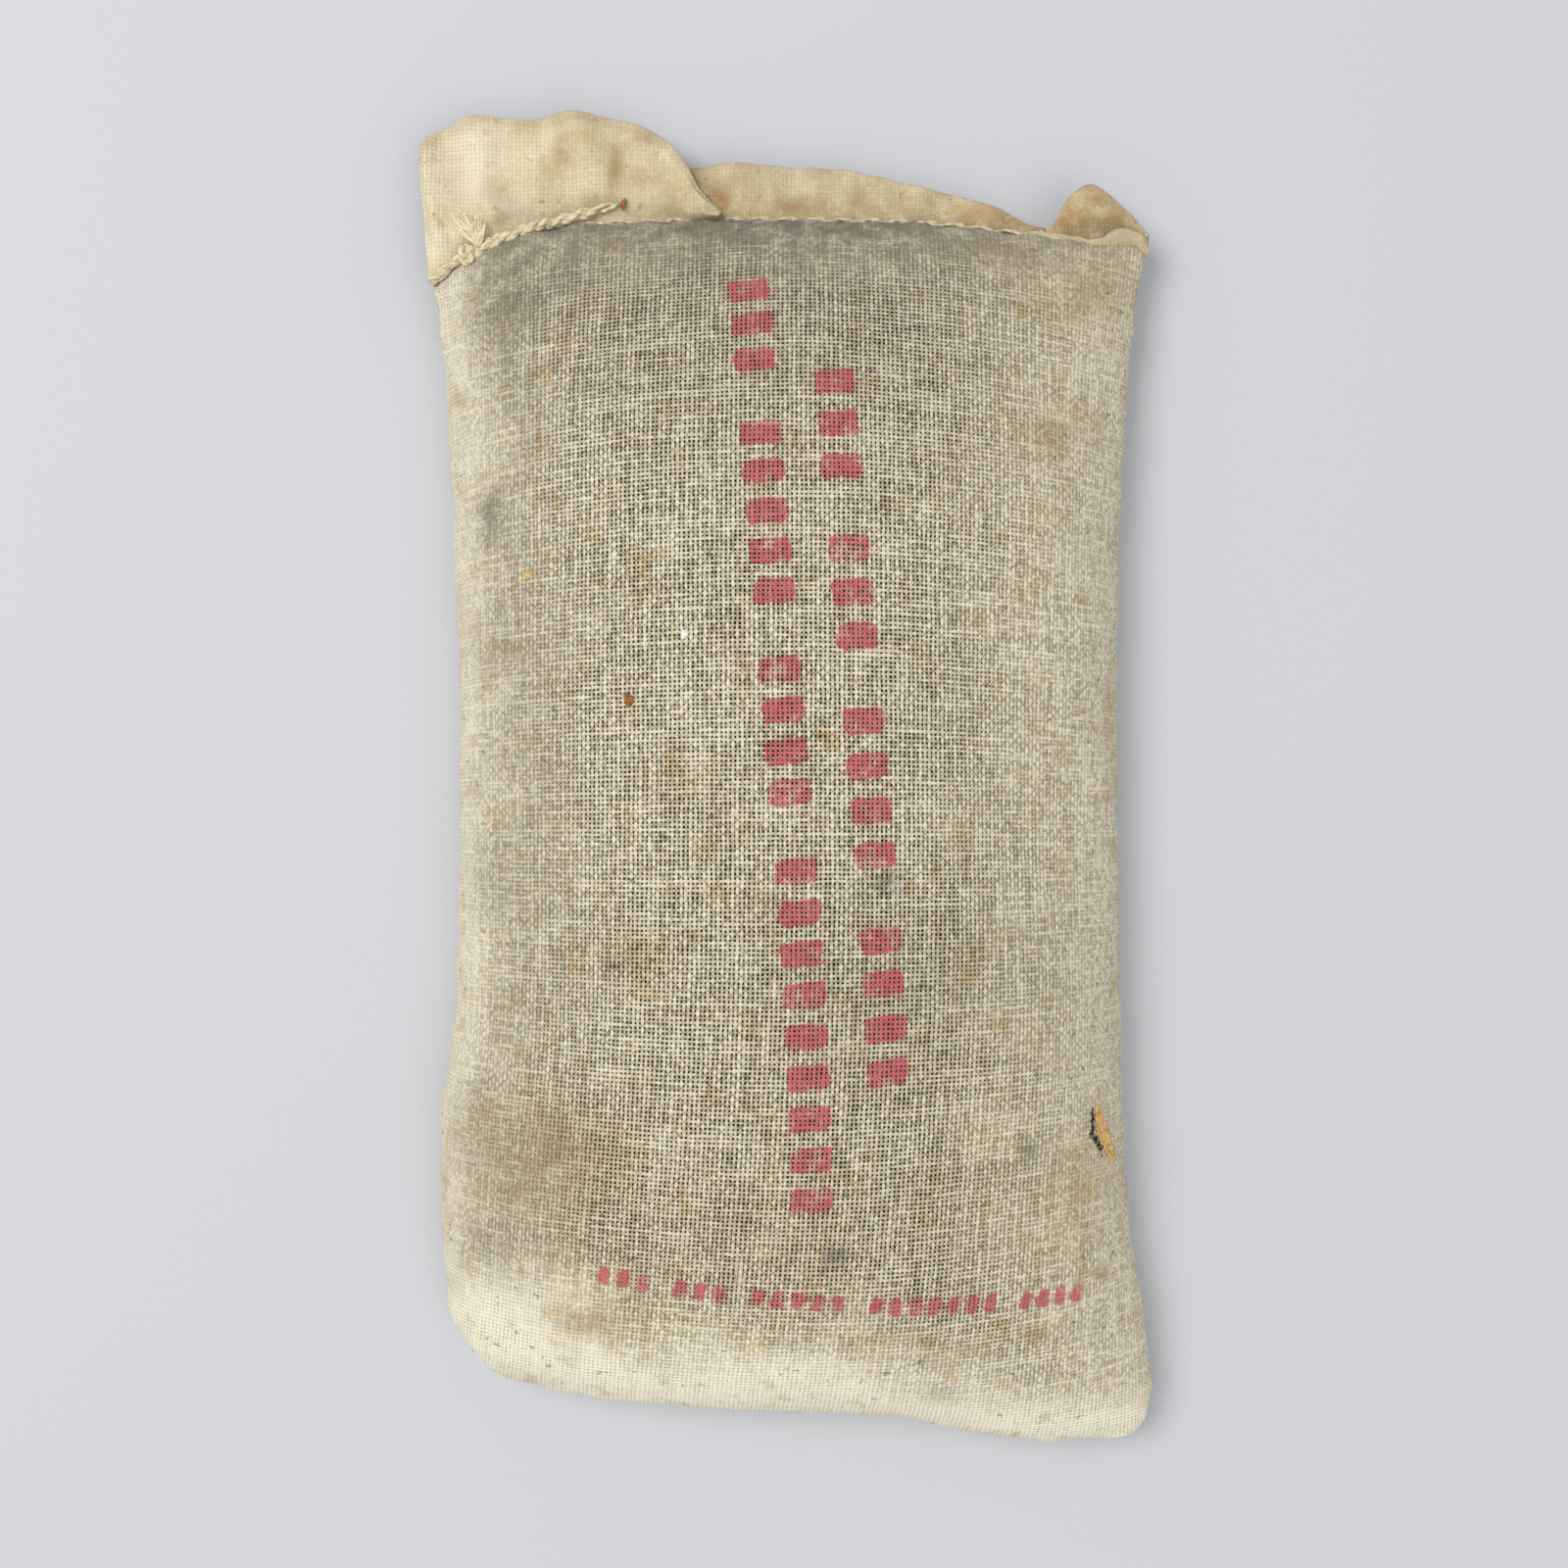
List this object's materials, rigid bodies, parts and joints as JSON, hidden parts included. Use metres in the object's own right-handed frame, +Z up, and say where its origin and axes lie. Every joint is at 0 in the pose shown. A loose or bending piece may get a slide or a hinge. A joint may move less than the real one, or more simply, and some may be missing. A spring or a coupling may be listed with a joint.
{
  "type": "sandbag",
  "caption": "Small sand-filled cotton bench bag lying on its back: sewn sides and bottom, stitched-shut mouth with a loose cloth collar and a folding flap, and a thread tail.",
  "frame": {"origin": "on the surface that the bag lies on, under the middle of its outline", "axes": "+X across the bag to its seamed side, +Y along it from the sewn bottom to the mouth, +Z up"},
  "size_m": [0.1573, 0.2852, 0.0426],
  "materials": {
    "bag_cloth": "plain-woven undyed cotton, greyed by the sand behind it, with faded red dashes",
    "mouth_cloth": "the same cotton, paler and yellowed, with ochre stains",
    "cotton_thread": "thick soft twisted cotton thread",
    "sand": "dry sand",
    "dry_lip": "dry, curled, tan cloth edge"
  },
  "bodies": {
    "bag": {"bag_cloth": "bag_cloth", "sand_fill": "sand", "side_seam_allowance": "bag_cloth", "bottom_seam_allowance": "bag_cloth", "side_seam_thread": "cotton_thread", "bottom_seam_thread": "cotton_thread", "collar_front": "mouth_cloth", "collar_back": "mouth_cloth", "collar_corner": "mouth_cloth", "closing_needle_thread": "cotton_thread", "closing_looper_thread": "cotton_thread", "closing_thread_tail": "cotton_thread", "closing_thread_knot": "cotton_thread", "frayed_thread_end": "cotton_thread", "tear_lip": "dry_lip"},
    "flap": {"flap_front": "mouth_cloth", "flap_back": "mouth_cloth"}
  },
  "joints": [
    {"name": "flap_fold", "type": "hinge", "parent": "bag", "child": "flap", "pos_m": [-0.05, 0.1251, 0.0105], "axis": [0.9912, 0.1323, 0], "range_deg": [-28, 90]}
  ]
}
